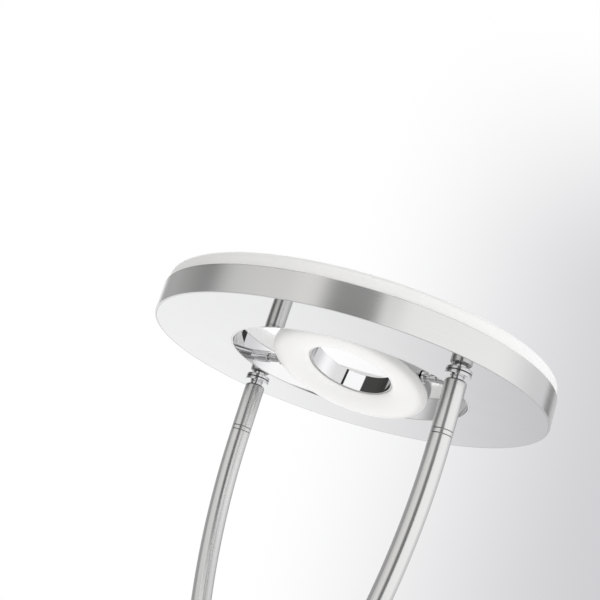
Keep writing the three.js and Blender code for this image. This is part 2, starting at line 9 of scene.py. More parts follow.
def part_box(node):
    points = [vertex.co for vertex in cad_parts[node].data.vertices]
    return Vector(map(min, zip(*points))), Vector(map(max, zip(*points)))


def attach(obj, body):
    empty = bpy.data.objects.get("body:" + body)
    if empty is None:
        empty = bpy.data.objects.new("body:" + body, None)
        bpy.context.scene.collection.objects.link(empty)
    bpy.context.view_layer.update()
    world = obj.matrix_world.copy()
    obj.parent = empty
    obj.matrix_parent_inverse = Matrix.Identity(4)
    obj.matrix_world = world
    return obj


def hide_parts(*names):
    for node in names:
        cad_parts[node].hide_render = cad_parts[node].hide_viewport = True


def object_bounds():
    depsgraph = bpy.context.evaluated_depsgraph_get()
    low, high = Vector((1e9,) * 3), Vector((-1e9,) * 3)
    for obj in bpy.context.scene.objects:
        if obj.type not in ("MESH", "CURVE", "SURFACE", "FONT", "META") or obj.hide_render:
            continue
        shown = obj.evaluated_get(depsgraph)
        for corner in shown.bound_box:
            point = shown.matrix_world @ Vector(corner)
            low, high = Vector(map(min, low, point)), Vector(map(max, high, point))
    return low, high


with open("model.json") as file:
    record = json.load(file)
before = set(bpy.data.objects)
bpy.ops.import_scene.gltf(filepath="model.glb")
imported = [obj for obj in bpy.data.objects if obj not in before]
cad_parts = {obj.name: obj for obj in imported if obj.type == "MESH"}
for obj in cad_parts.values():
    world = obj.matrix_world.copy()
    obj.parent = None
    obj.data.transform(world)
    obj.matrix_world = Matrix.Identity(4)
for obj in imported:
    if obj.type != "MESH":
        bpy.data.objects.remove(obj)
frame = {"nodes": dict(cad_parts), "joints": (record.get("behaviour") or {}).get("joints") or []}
cad_low, cad_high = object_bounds()

# ---- Camera ----
# It stands a metre in front of the head, lower than it and to its right, and looks up at the ring.
# It is leant over sideways, so the poles are seen at a slant.
head_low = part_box("underside_plate")[0].z
head_middle = Vector((0, 0, head_low))
eye = head_middle + Vector((0.8544, -0.6270, -0.2736))
aim = head_middle + Vector((-0.0188, -0.0514, 0.0418))
lean = math.radians(17.85)
camera = bpy.data.objects.new("camera", bpy.data.cameras.new("camera"))
bpy.context.scene.collection.objects.link(camera)
camera.data.lens = 86.33
camera.data.sensor_width = 36
camera.data.clip_start = 0.05
camera.data.clip_end = 60
camera.matrix_world = (
    Matrix.Translation(eye)
    @ (aim - eye).to_track_quat("-Z", "Y").to_matrix().to_4x4()
    @ Matrix.Rotation(lean, 4, "Z")
)
bpy.context.scene.camera = camera
bpy.context.scene.view_settings.view_transform = "Standard"

# ---- Studio ----
# A pale room with soft boxes and grey flags round the lamp, far enough away to be told by direction.
# The metal mirrors them. The room itself shows as near white, and cools and darkens to one side.
def put(tree, kind, settings=None, values=None, links=None):
    """Adds a node with its settings, its socket values and its links."""
    node = tree.nodes.new("ShaderNode" + kind)
    for key, value in (settings or {}).items():
        setattr(node, key, value)
    for key, value in (values or {}).items():
        node.inputs[key].default_value = value
    for key, source in (links or {}).items():
        tree.links.new(source, node.inputs[key])
    return node


studio = bpy.data.worlds.new("studio")
bpy.context.scene.world = studio
studio.use_nodes = True
room = studio.node_tree
room.nodes.clear()
direction = put(room, "TexCoord").outputs["Generated"]
parts = put(room, "SeparateXYZ", links={"Vector": direction}).outputs
bearing = put(room, "Math", {"operation": "ARCTAN2"}, links={0: parts["Y"], 1: parts["X"]}).outputs[0]
height = put(room, "Math", {"operation": "ARCSINE"}, links={0: parts["Z"]}).outputs[0]


def span(value, start, end, soft_start, soft_end):
    """1 between two angles in degrees and 0 outside them, with soft edges."""
    edges = []
    for angle, soft, low, high in ((start, soft_start, 0, 1), (end, soft_end, 1, 0)):
        edge = put(
            room, "MapRange", {"interpolation_type": "SMOOTHSTEP"},
            {
                "From Min": math.radians(angle - soft / 2), "From Max": math.radians(angle + soft / 2),
                "To Min": low, "To Max": high,
            },
            {"Value": value},
        )
        edges.append(edge.outputs[0])
    return put(room, "Math", {"operation": "MULTIPLY"}, links={0: edges[0], 1: edges[1]}).outputs[0]


def hang(under, bright, tint, bearings, heights, side_soft, top_soft):
    """Hangs one card in the room: it covers what is under it between two bearings and two heights."""
    start, end = bearings
    turned_bearing = bearing
    if end > 180:  # bearings run from -180 to 180, so a card behind the lamp is measured from the back
        shifted = put(room, "Math", {"operation": "SUBTRACT"}, {1: math.pi}, {0: bearing}).outputs[0]
        wrap = put(room, "Math", {"operation": "WRAP"}, {1: math.pi, 2: -math.pi}, {0: shifted})
        turned_bearing = wrap.outputs[0]
        start, end = start - 180, end - 180
    sideways = span(turned_bearing, start, end, *side_soft)
    up_and_down = span(height, *heights, *top_soft)
    mask = put(room, "Math", {"operation": "MULTIPLY"}, links={0: sideways, 1: up_and_down}).outputs[0]
    card = [bright * part for part in tint] + [1]
    mixed = put(room, "Mix", {"data_type": "RGBA"}, {"B": card}, {"Factor": mask})
    if isinstance(under, float):
        mixed.inputs["A"].default_value = (under, under, under, 1)
    else:
        room.links.new(under, mixed.inputs["A"])
    return mixed.outputs["Result"]


neutral = (1, 1, 1)
warm = (1, 0.99, 0.97)
cool = (0.985, 0.98, 1.01)
# Each card: brightness, tint, from and to bearing, from and to height, softness of each side, bottom and top.
cards = [
    (0.9, neutral, (-30, 60), (-25, 95), (6, 60), (20, 10)),
    (0.2, warm, (-360, 400), (56, 100), (10, 10), (18, 10)),
    (1.16, neutral, (-30, 66), (-30, 24), (6, 50), (20, 8)),
    (0.78, cool, (72, 130), (-25, 50), (60, 16), (20, 20)),
    (0.55, neutral, (100, 128), (-25, 30), (14, 14), (20, 10)),
    (0.58, cool, (122, 141), (-60, 26), (10, 16), (10, 12)),
    (1.0, neutral, (141, 165), (-4, 60), (10, 5), (10, 10)),
    (0.93, neutral, (142.5, 168), (-60, -2), (17, 12), (10, 8)),
    (0.4, neutral, (168, 234), (-10, 24), (8, 24), (20, 6)),
    (0.16, warm, (200, 262), (-64, -6), (10, 8), (10, 10)),
    (0.47, neutral, (182, 212), (-10, 24), (8, 20), (20, 6)),
    (0.93, warm, (254, 298), (-30, 24), (38, 10), (20, 6)),
    (0.19, neutral, (299, 329), (-40, 26), (12, 6), (20, 3)),
    (0.07, warm, (186, 279), (26, 46), (10, 3), (8, 10)),
    (0.05, warm, (188, 228), (20, 30), (8, 10), (4, 6)),
    (0.04, neutral, (97, 110), (13, 17), (2, 2), (2, 3)),
    (1.15, neutral, (279, 334), (26, 60), (3, 2), (4, 10)),
    (0.03, neutral, (334, 341), (22, 60), (2, 2), (4, 10)),
]
seen = 0.8  # the room's own grey, between the cards
for bright, tint, bearings, heights, side_soft, top_soft in cards:
    if bearings[0] > 180:
        bearings = (bearings[0] - 360, bearings[1] - 360)
    seen = hang(seen, bright, tint, bearings, heights, side_soft, top_soft)
# The wall that shows behind the lamp: white, with one broad grey patch that has a violet cast.
wall = hang(1.0, 0.64, (0.985, 0.98, 1.02), (95, 138.5), (-60, 25.5), (20, 15), (20, 11))
to_the_eye = put(room, "LightPath").outputs["Is Camera Ray"]
lamps = put(room, "Background", values={"Strength": 1.3}, links={"Color": seen}).outputs[0]
backdrop = put(room, "Background", values={"Strength": 1.0}, links={"Color": wall}).outputs[0]
shown = put(room, "MixShader", links={0: to_the_eye, 1: lamps, 2: backdrop}).outputs[0]
put(room, "OutputWorld", links={"Surface": shown})

# ---- Head rim ----
# A band of steel rolled into a hoop, with a ledge inside that carries the light's metal sheet.
# It is nickel plated, then brushed round and round, so what it mirrors is soft and smeared up and down.
MM = 0.001
round_big = 224  # sides of the largest turned pieces
crisp = math.radians(38)  # edges that turn by more than this stay crisp
broken = 0.3  # size of a broken edge
play = 0.3  # room between two pieces that fit together


def linear(code):
    """An sRGB hex colour as linear red, green, blue and alpha."""
    parts = [int(code[i : i + 2], 16) / 255 for i in (0, 2, 4)]
    return [c / 12.92 if c <= 0.04045 else ((c + 0.055) / 1.055) ** 2.4 for c in parts] + [1]


def eased(profile):
    """Rounds off the corners of a closed profile whose points carry a third number, the size of the rounding.
    A point just past each end of a rounding keeps the long face beside it flat in the shading."""
    made = []
    past = 0.2
    for i, point in enumerate(profile):
        here = Vector(point[:2])
        if len(point) == 2:
            made.append(here)
            continue
        size = point[2]
        back = Vector(profile[i - 1][:2]) - here
        on = Vector(profile[(i + 1) % len(profile)][:2]) - here
        a, b = here + back.normalized() * size, here + on.normalized() * size
        if back.length > 4 * (size + past):
            made.append(a + back.normalized() * past)
        for t in (0, 0.25, 0.5, 0.75, 1):
            made.append(a * (1 - t) ** 2 + here * 2 * t * (1 - t) + b * t * t)
        if on.length > 4 * (size + past):
            made.append(b + on.normalized() * past)
    return made


def upright(s):
    """A straight centre line: the place at a distance along it, with the two directions across it."""
    return Vector((0, 0, s)), Vector((1, 0, 0)), Vector((0, 1, 0))


def turned(name, profile, sides, place=None, line=upright):
    """A closed profile of (radius, distance along) in millimetres, turned about a straight or bent line.
    Its map runs round the piece and along its profile, in metres."""
    points = eased(profile)
    widest = max(p.x for p in points)
    work = bmesh.new()
    map_layer = work.loops.layers.uv.new("surface")
    rings, lengths = [], [0]
    for i, (radius, s) in enumerate(points):
        centre, across, beside = line(s)
        ring = []
        for k in range(sides):
            a = 2 * math.pi * k / sides
            out = math.cos(a) * across + math.sin(a) * beside
            ring.append(work.verts.new((centre + radius * out) * MM))
        rings.append(ring)
        lengths.append(lengths[-1] + (points[(i + 1) % len(points)] - points[i]).length * MM)
    step = 2 * math.pi * widest * MM / sides
    for i in range(len(points)):
        j = (i + 1) % len(points)
        if points[i].x < 1e-6 and points[j].x < 1e-6:
            continue
        for k in range(sides):
            after = (k + 1) % sides
            face = work.faces.new((rings[i][k], rings[i][after], rings[j][after], rings[j][k]))
            face.smooth = True
            corners = ((k, i), (k + 1, i), (k + 1, i + 1), (k, i + 1))
            for loop, (around, along) in zip(face.loops, corners):
                loop[map_layer].uv = (around * step, lengths[along])
    bmesh.ops.remove_doubles(work, verts=work.verts, dist=1e-7)
    return made_of(work, name, place)


def made_of(work, name, place=None):
    """The finished object of a worked mesh, with crisp edges where it turns sharply."""
    mesh = bpy.data.meshes.new(name)
    work.to_mesh(mesh)
    work.free()
    if place is not None:
        mesh.transform(place)
    mesh.set_sharp_from_angle(angle=crisp)
    piece = bpy.data.objects.new(name, mesh)
    bpy.context.scene.collection.objects.link(piece)
    return piece


def cut_from(piece, *tools, keep="DIFFERENCE"):
    """Cuts the tools' shapes out of a piece, then throws the tools away."""
    for tool in tools:
        change = piece.modifiers.new("cut", "BOOLEAN")
        change.operation = keep
        change.solver = "EXACT"
        change.object = tool
    shape = bpy.data.meshes.new_from_object(piece.evaluated_get(bpy.context.evaluated_depsgraph_get()))
    piece.modifiers.clear()
    piece.data = shape
    shape.set_sharp_from_angle(angle=crisp)
    for tool in tools:
        bpy.data.objects.remove(tool)
    return piece


def drill(radius, low, high, place, sides=32):
    """A rod to cut a round hole with."""
    return turned("drill", [(0, low), (radius, low), (radius, high), (0, high)], sides, place)


def fit(piece, material, slot, body, *nodes):
    """Gives a piece its material and the body it moves with, and hides the solids it stands for. The slot it
    is given is not used.
    """
    piece.data.materials.clear()
    piece.data.materials.append(material)
    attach(piece, body)
    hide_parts(*nodes)
    return piece


def begin(name, colour, metallic, roughness, **sockets):
    """A named material with its Principled shader set to plain values."""
    material = bpy.data.materials.new(name)
    material.use_nodes = True
    shader = material.node_tree.nodes["Principled BSDF"]
    sockets.update({"Base Color": linear(colour), "Metallic": metallic, "Roughness": roughness})
    for key, value in sockets.items():
        shader.inputs[key].default_value = value
    return material, material.node_tree, shader


def vary(tree, shader, pattern, bump_mm, light=None, dark=None, rough=None):
    """Runs one pattern into the shader's bump, and into its colour and roughness between two values each."""
    if light:
        tint = put(
            tree, "Mix", {"data_type": "RGBA"}, {"A": linear(dark), "B": linear(light)}, {"Factor": pattern},
        )
        tree.links.new(tint.outputs["Result"], shader.inputs["Base Color"])
    if rough:
        low, high = rough
        spread = put(tree, "MapRange", values={"To Min": low, "To Max": high}, links={"Value": pattern})
        tree.links.new(spread.outputs[0], shader.inputs["Roughness"])
    bump = put(tree, "Bump", values={"Strength": 1.0, "Distance": bump_mm * MM}, links={"Height": pattern})
    tree.links.new(bump.outputs[0], shader.inputs["Normal"])
    return bump


def brushed_nickel(name, pitch, run, round_it):
    """Satin nickel: grit lines of the given pitch and run, in millimetres, round the piece or along it."""
    material, tree, shader = begin(name, "c3c3c2", 1.0, 0.24, Anisotropic=0.55)
    shader.inputs["Anisotropic Rotation"].default_value = 0.25
    surface = put(tree, "UVMap", {"uv_map": "surface"}).outputs[0]
    fine, long = 1 / (pitch * MM), 1 / (run * MM)
    scale = (long, fine, 1) if round_it else (fine, long, 1)
    mapped = put(tree, "Mapping", values={"Scale": scale}, links={"Vector": surface})
    lines = put(
        tree, "TexNoise", values={"Scale": 1.0, "Detail": 4.0, "Roughness": 0.65},
        links={"Vector": mapped.outputs[0]},
    ).outputs[0]
    vary(tree, shader, lines, 0.0015, "c8c8c7", "bdbdbd", (0.20, 0.28))
    across = put(tree, "Tangent", {"direction_type": "UV_MAP", "uv_map": "surface"}).outputs[0]
    tree.links.new(across, shader.inputs["Tangent"])
    return material


# Steel brushed on a turning hoop, then nickel plated: a soft grey mirror, smeared across the lines.
# Real grit lines are under 0.1 mm apart; they are drawn 0.9 mm apart so that they show.
nickel_hoop = brushed_nickel("nickel_brushed_round", 0.9, 140, True)
rim_low, rim_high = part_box("head_rim")
head_radius = rim_high.x / MM
head_z = head_low / MM
rim_tall = (rim_high.z - rim_low.z) / MM
rim_wall = 1.4
rim_bore = head_radius - rim_wall
ledge_wide = 13
ledge = {"low": 12.0, "high": 13.2, "inner": rim_bore - ledge_wide}
at_head = Matrix.Translation((0, 0, head_low))
screw_circle = rim_bore - ledge_wide / 2
screw_radius = 1.5
screw_places = [
    Matrix.Translation((screw_circle * MM * math.cos(a), screw_circle * MM * math.sin(a), head_low))
    for a in (math.pi / 3, math.pi, 5 * math.pi / 3)
]
rim = turned(
    "rim_hoop",
    [
        (head_radius, 0, broken), (head_radius, rim_tall, broken),
        (rim_bore, rim_tall, broken), (rim_bore, ledge["high"]),
        (ledge["inner"], ledge["high"], broken), (ledge["inner"], ledge["low"], broken),
        (rim_bore, ledge["low"]), (rim_bore, 0, 0.2),
    ],
    round_big, at_head,
)
screw_hole = (screw_radius + play, ledge["low"] - 1, ledge["high"] + 1)
cut_from(rim, *[drill(*screw_hole, place) for place in screw_places])
fit(rim, nickel_hoop, "satin_nickel", "root", "head_rim")

# ---- Underside plate ----
# A flat ring of steel sheet that closes the head from below, with one hole for each pole's neck.
# It is buffed and chrome plated, so it is a near perfect mirror with only faint buffing haze.
def mirror_chrome(name, haze_mm, haze=(0.02, 0.06)):
    """Polished chrome: a clean mirror with a faint long-wave buffing ripple and slightly uneven haze."""
    material, tree, shader = begin(name, "d0d0d1", 1.0, sum(haze) / 2)
    place = put(tree, "TexCoord").outputs["Object"]
    ripple = put(
        tree, "TexNoise", values={"Scale": 1 / (haze_mm * MM), "Detail": 3.0, "Roughness": 0.6},
        links={"Vector": place},
    ).outputs[0]
    vary(tree, shader, ripple, 0.0025, "d2d2d3", "cbcbcc", haze)
    return material


# Steel sheet, buffed and then chrome plated: a clear mirror whose haze drifts over 35 mm.
chrome_sheet = mirror_chrome("chrome_polished_sheet", 35)
plate_thick = 1.5
hairline = 0.05  # the seam between two pieces pressed together
liner_radius = 94.0
plate_radius = rim_bore - hairline
plate_bore = liner_radius + hairline
neck_radius = 4.8
neck_places = {
    hand: Matrix.Translation((sum(corner.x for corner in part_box(f"neck_{hand}")) / 2, 0, head_low))
    for hand in ("left", "right")
}
underside = turned(
    "underside_mirror",
    [
        (plate_bore, 0, 0.1), (plate_radius, 0, 0.1), (plate_radius, plate_thick), (plate_bore, plate_thick),
    ],
    round_big, at_head,
)
cut_from(underside, *[drill(neck_radius + play, -1, 3, place, 48) for place in neck_places.values()])
fit(underside, chrome_sheet, "polished_chrome", "root", "underside_plate")

# ---- Opening wall ----
# A hoop that lines the round opening of the head, with a ledge outside and two holes for the ring's pivots.
# The same polished chrome as the underside, so it mirrors the ring that hangs in front of it.
liner_low, liner_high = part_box("opening_liner")
liner_tall = (liner_high.z - liner_low.z) / MM
opening_radius = 92.7
ledge_outer = liner_radius + 8
reading_joint = next(j for j in frame["joints"] if j["name"] == "reading_light_tilt")
pivot = Vector(reading_joint["pos_m"])
pivot_axis = Vector(reading_joint["axis"])
pivot_bearing = math.atan2(pivot_axis.y, pivot_axis.x)
at_pivot = Matrix.Translation(pivot) @ Matrix.Rotation(pivot_bearing, 4, "Z")
along_pivot = {
    "left": at_pivot @ Matrix.Rotation(math.pi / 2, 4, "Y"),
    "right": at_pivot @ Matrix.Rotation(math.pi, 4, "Z") @ Matrix.Rotation(math.pi / 2, 4, "Y"),
}
liner = turned(
    "opening_wall",
    [
        (opening_radius, liner_tall, 0.2), (opening_radius, 0, 0.2), (liner_radius, 0, 0.1),
        (liner_radius, ledge["low"]), (ledge_outer, ledge["low"], 0.2), (ledge_outer, ledge["high"], 0.2),
        (liner_radius, ledge["high"]), (liner_radius, liner_tall, broken),
    ],
    round_big, at_head,
)
pin_radius = 2.5
cut_from(liner, *[drill(pin_radius + play, 60, 110, place) for place in along_pivot.values()])
fit(liner, chrome_sheet, "polished_chrome", "root", "opening_liner")

# ---- Opal ring of the uplight ----
# One moulding in opal acrylic that caps the head, with round shoulders and a skirt inside the rim.
# Fine pigment scatters the light, so it is an even, faintly glowing white with a soft satin skin.
def opal_acrylic(name, grain_mm, light, width=None):
    """Opal acrylic: milky, lit from behind, with a barely pitted moulded skin.
    Given its width along the section, in metres, its colour is painted darker towards both edges: painted
    shade for the rolled edges, where no light is behind it."""
    material, tree, shader = begin(
        name, "d9d9d9", 0.0, 0.32,
        **{"IOR": 1.49, "Subsurface Weight": 0.25, "Subsurface Scale": 0.004, "Emission Strength": light},
    )
    shader.inputs["Subsurface Radius"].default_value = (1.0, 0.95, 0.9)
    shader.inputs["Emission Color"].default_value = linear("fffefb")
    place = put(tree, "TexCoord").outputs["Object"]
    cloud = put(
        tree, "TexNoise", values={"Scale": 1 / (grain_mm * MM), "Detail": 2.0}, links={"Vector": place},
    ).outputs[0]
    vary(tree, shader, cloud, 0.01, "dcdcdc", "d4d4d4", (0.28, 0.38))
    if width:
        surface = put(tree, "UVMap", {"uv_map": "surface"}).outputs[0]
        along = put(tree, "SeparateXYZ", links={"Vector": surface}).outputs["Y"]
        body = shader.inputs["Base Color"].links[0].from_socket
        # Painted shade: the base colour darkens to a pale grey at the inner edge, and to a mid grey at the
        # outer edge and over the back.
        for start, end, edge in ((0.0, 0.14, "c2c2c2"), (1.0, 0.66, "707070")):
            middle = put(
                tree, "MapRange", {"interpolation_type": "SMOOTHSTEP"},
                {"From Min": start * width, "From Max": end * width}, {"Value": along},
            ).outputs[0]
            body = put(
                tree, "Mix", {"data_type": "RGBA"}, {"A": linear(edge)}, {"Factor": middle, "B": body},
            ).outputs["Result"]
        tree.links.new(body, shader.inputs["Base Color"])
    return material


# The uplight's cap glows only faintly. Its pigment is clouded over about 4 mm.
opal_cap = opal_acrylic("acrylic_opal_cap", 4, 0.17)
cap_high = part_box("opal_diffuser")[1]
cap_radius = cap_high.x / MM
cap_top = cap_high.z / MM - head_z
cap_wall = 2.2
cap_skirt = {"outer": 15.3, "inner": 18.8}
cap_shoulder = {"outer": 5, "inner": 7}


def arc(r, z, radius, start, end, steps=8):
    """Part of a circle as profile points, between two angles in degrees."""
    turns = [math.radians(start + (end - start) * i / steps) for i in range(steps + 1)]
    return [(r + radius * math.cos(a), z + radius * math.sin(a)) for a in turns]


outer_shoulder = (cap_radius - cap_shoulder["outer"], cap_top - cap_shoulder["outer"])
inner_shoulder = (opening_radius + cap_shoulder["inner"], cap_top - cap_shoulder["inner"])
cap = turned(
    "uplight_opal_cap",
    [
        (cap_radius, cap_skirt["outer"]),
        *arc(*outer_shoulder, cap_shoulder["outer"], 0, 90),
        *arc(*inner_shoulder, cap_shoulder["inner"], 90, 180),
        (opening_radius, cap_skirt["inner"]),
        (opening_radius + cap_wall, cap_skirt["inner"]),
        *arc(*inner_shoulder, cap_shoulder["inner"] - cap_wall, 180, 90),
        *arc(*outer_shoulder, cap_shoulder["outer"] - cap_wall, 90, 0),
        (cap_radius - cap_wall, cap_skirt["outer"]),
    ],
    round_big, at_head,
)
fit(cap, opal_cap, "opal_acrylic", "root", "opal_diffuser")

# ---- Light carrier, circuit board and screws inside the head ----
# A rolled aluminium sheet on the two ledges, three zinc-plated screws, and a white board of light emitters.
# The metal is left as rolled and plated; the boards are glass fibre under white lacquer.
def dress(material, *nodes):
    """Gives solids that stay as they are a better material, through their material slots."""
    for name in nodes:
        for slot in frame["nodes"][name].material_slots:
            slot.material = material


def streaks(tree, size, detail):
    """Noise drawn out into streaks of the given size along x, y and z, in millimetres."""
    place = put(tree, "TexCoord").outputs["Object"]
    scale = tuple(1 / (part * MM) for part in size)
    drawn_out = put(tree, "Mapping", values={"Scale": scale}, links={"Vector": place}).outputs[0]
    lines = put(tree, "TexNoise", values={"Scale": 1.0, "Detail": detail}, links={"Vector": drawn_out})
    return lines.outputs[0]


# Mill-finished sheet: pale and dull, with rolling lines 40 mm long.
# Real lines are about 0.1 mm apart; they are drawn 0.6 mm apart so that they show.
aluminium, tree, shader = begin("aluminium_rolled_sheet", "c9cbcd", 1.0, 0.42)
mill_lines = streaks(tree, (40, 0.6, 40), 3.0)
vary(tree, shader, mill_lines, 0.003, "d2d4d6", "b9bcbf", (0.34, 0.50))
dress(aluminium, "led_carrier")

# Turned steel, zinc plated: bluish grey, in crystals of 1.2 mm that are each lighter or duller than the next.
zinc, tree, shader = begin("steel_zinc_plated", "b4b6b8", 1.0, 0.36)
place = put(tree, "TexCoord").outputs["Object"]
spangle = put(tree, "TexVoronoi", values={"Scale": 1 / (1.2 * MM)}, links={"Vector": place}).outputs["Color"]
crystal = put(tree, "SeparateXYZ", links={"Vector": spangle}).outputs["X"]
vary(tree, shader, crystal, 0.004, "c6c8c6", "9c9ea4", (0.28, 0.46))
screws = [f"carrier_screw_{i}" for i in (1, 2, 3)]
dress(zinc, *screws, "neck_nut_left", "neck_nut_right")
dress(zinc, "pole_stud_left", "pole_stud_right", "pole_nut_left", "pole_nut_right")

# Glass-fibre board under white lacquer: tracks show as pale 24 mm fields, and the skin ripples every 2 mm.
board_white, tree, shader = begin("circuit_board_white_lacquer", "ecece6", 0.0, 0.45, IOR=1.5)
place = put(tree, "TexCoord").outputs["Object"]
tracks = put(
    tree, "TexBrick", {"offset": 0.5},
    {
        "Scale": 1 / (24 * MM), "Mortar Size": 0.03, "Mortar Smooth": 0.3,
        "Color1": linear("eeeee8"), "Color2": linear("e4e4dc"), "Mortar": linear("d2d0c0"),
    },
    {"Vector": place},
)
tree.links.new(tracks.outputs["Color"], shader.inputs["Base Color"])
lacquer = put(tree, "TexNoise", values={"Scale": 1 / (2 * MM), "Detail": 2.0}, links={"Vector": place})
vary(tree, shader, lacquer.outputs[0], 0.01, rough=(0.38, 0.55))
dress(board_white, "uplight_led_board", "driver_board", "reading_led_board")

# ---- Necks and their flanges ----
# A threaded tube with a plain polished shank comes down out of the head on each side.
# A turned washer with one small screw hole sits against the underside round it; both are chrome plated.
# Small turned steel and brass, chrome plated but not buffed flat: a bright, slightly soft mirror.
chrome_turned = mirror_chrome("chrome_polished_turned", 8, (0.10, 0.16))
neck_bore = 3.0
neck_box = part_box("neck_left")
neck_span = (neck_box[0].z / MM - head_z, neck_box[1].z / MM - head_z)
flange_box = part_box("neck_flange_left")
flange_span = (flange_box[0].z / MM - head_z, flange_box[1].z / MM - head_z)
flange_radius = 9.5
flange_hole = {"radius": 1.2, "circle": (neck_radius + flange_radius) / 2, "bearing": math.radians(293)}
for hand, place in neck_places.items():
    neck = turned(
        f"neck_tube_{hand}",
        [
            (neck_radius, neck_span[0], broken), (neck_radius, neck_span[1], broken),
            (neck_bore, neck_span[1], broken), (neck_bore, neck_span[0], broken),
        ],
        64, place,
    )
    fit(neck, chrome_turned, "polished_chrome", "root", f"neck_{hand}")
    flange = turned(
        f"neck_washer_{hand}",
        [
            (flange_radius, flange_span[0], 0.5), (flange_radius, flange_span[1], 0.2),
            (neck_radius + play, flange_span[1], 0.2), (neck_radius + play, flange_span[0], broken),
        ],
        96, place,
    )
    x = flange_hole["circle"] * MM * math.cos(flange_hole["bearing"])
    y = flange_hole["circle"] * MM * math.sin(flange_hole["bearing"])
    cut_from(flange, drill(flange_hole["radius"], -6, 2, place @ Matrix.Translation((x, y, 0)), 24))
    fit(flange, chrome_turned, "polished_chrome", "root", f"neck_flange_{hand}")

# ---- Poles: sleeve, couplings and three tubes on each side ----
# Steel tube, nickel plated and satin finished along its length, so a lengthwise dark line shows in its shine.
# The top tube is bent inwards and back; turned couplings join the tubes and show as a narrow band.
# Tube satin finished lengthwise, then nickel plated: a dull grey sheen with lines 90 mm long.
# Real lines are under 0.1 mm apart; they are drawn 0.7 mm apart so that they show.
nickel_tube = brushed_nickel("nickel_satin_tube", 0.7, 90, False)
pole_radius, tube_bore = 8.0, 6.8
bend_radius = 450.0
sleeve_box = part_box("pole_sleeve_left")
upper_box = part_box("upper_tube_left")
middle_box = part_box("middle_tube_left")
lower_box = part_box("lower_tube_left")
head_pole_x = -sum(corner.x for corner in sleeve_box) / 2 / MM
stem_x = -sum(corner.x for corner in middle_box) / 2 / MM
bend_shift = head_pole_x - stem_x
bend_angle = math.acos(1 - bend_shift / (2 * bend_radius))
bend_top = upper_box[1].z / MM - 2.5  # a short straight stub stands above the bends
bend_length = bend_radius * bend_angle
bend_drop = bend_radius * math.sin(bend_angle)


def pole_line(side):
    """The pole's centre line from the top of its bends down, by length, with the two directions across it."""

    def at(s):
        length = min(max(s, 0), 2 * bend_length)
        second = length > bend_length
        angle = (2 * bend_length - length if second else length) / bend_radius
        shift = bend_radius * (1 - math.cos(angle))
        drop = bend_radius * math.sin(angle)
        if second:
            shift, drop = bend_shift - shift, 2 * bend_drop - drop
        drop += s - length
        across = Vector((math.cos(angle), 0, -side * math.sin(angle)))
        return Vector((side * (head_pole_x - shift), 0, bend_top - drop)), across, Vector((0, -1, 0))

    return at


def tube_profile(low, high, stations):
    """A tube's wall between two distances, as many short lengths so that it can follow a bend."""
    steps = [low + (high - low) * i / stations for i in range(1, stations)]
    return [
        (pole_radius, low, broken), *[(pole_radius, s) for s in steps], (pole_radius, high, broken),
        (tube_bore, high), *[(tube_bore, s) for s in reversed(steps)], (tube_bore, low),
    ]


sleeve_low, sleeve_high = (corner.z / MM - head_z for corner in sleeve_box)
boss_low = sleeve_high - 12.3  # the neck screws into the sleeve down to here
chamfer = 1.3
bowed_start = bend_top - upper_box[1].z / MM
bowed_end = 2 * bend_length + bend_top - 2 * bend_drop - upper_box[0].z / MM
spigot, spigot_long, joint_bore = tube_bore - 0.5, 8, 4.0
lead_hole_radius = 2.6
for hand, side in (("left", -1), ("right", 1)):
    stem = Matrix.Translation((side * stem_x * MM, 0, 0))
    sleeve = turned(
        f"sleeve_{hand}",
        [
            (pole_radius, sleeve_low, broken),
            (pole_radius, sleeve_high - chamfer, 0.6), (pole_radius - chamfer, sleeve_high, 0.6),
            (neck_radius + play, sleeve_high, 0.2), (neck_radius + play, boss_low),
            (tube_bore, boss_low), (tube_bore, sleeve_low),
        ],
        64, neck_places[hand],
    )
    fit(sleeve, nickel_tube, "satin_nickel", "root", f"pole_sleeve_{hand}")
    bowed_wall = tube_profile(bowed_start, bowed_end, 110)
    upper = turned(f"bowed_tube_{hand}", bowed_wall, 64, None, pole_line(side))
    fit(upper, nickel_tube, "satin_nickel", "root", f"upper_tube_{hand}")
    for part, box in (("middle", middle_box), ("lower", lower_box)):
        tube = turned(f"{part}_stem_{hand}", tube_profile(box[0].z / MM, box[1].z / MM, 8), 64, stem)
        if part == "middle":
            control_middle = sum(corner.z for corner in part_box("control_front")) / 2
            sideways = Matrix.Rotation(-side * math.pi / 2, 4, "Y")
            lead_hole = stem @ Matrix.Translation((0, 0, control_middle)) @ sideways
            cut_from(tube, drill(lead_hole_radius, 1, 12, lead_hole, 24))
        fit(tube, nickel_tube, "satin_nickel", "root", f"{part}_tube_{hand}")
    for part in ("head", "upper", "lower"):
        low, high = (corner.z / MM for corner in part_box(f"{part}_coupling_{hand}"))
        x = sum(corner.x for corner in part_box(f"{part}_coupling_{hand}")) / 2
        band_low, band_high = low + spigot_long, high - spigot_long
        band = turned(
            f"{part}_joint_band_{hand}",
            [
                (spigot, low, 0.4), (spigot, band_low),
                (pole_radius, band_low, 0.35), (pole_radius, band_high, 0.35),
                (spigot, band_high), (spigot, high, 0.4), (joint_bore, high), (joint_bore, low),
            ],
            64, Matrix.Translation((x, 0, 0)),
        )
        fit(band, nickel_tube, "satin_nickel", "root", f"{part}_coupling_{hand}")

# ---- Supply leads inside the poles ----
# A round two-core lead hangs in each pole, from the head down to the base.
# Its sheath is black PVC, pushed hot through a die.
# Drawn PVC: a slightly waxy black with die lines 30 mm long.
# Real lines are about 0.2 mm apart; they are drawn 0.8 mm apart so that they show.
lead_skin, tree, shader = begin("pvc_black_drawn_lead", "1c1c1e", 0.0, 0.48, IOR=1.54)
draw_lines = streaks(tree, (0.8, 0.8, 30), 2.0)
vary(tree, shader, draw_lines, 0.01, "242426", "161618", (0.42, 0.56))
dress(lead_skin, "supply_lead_left", "supply_lead_right")

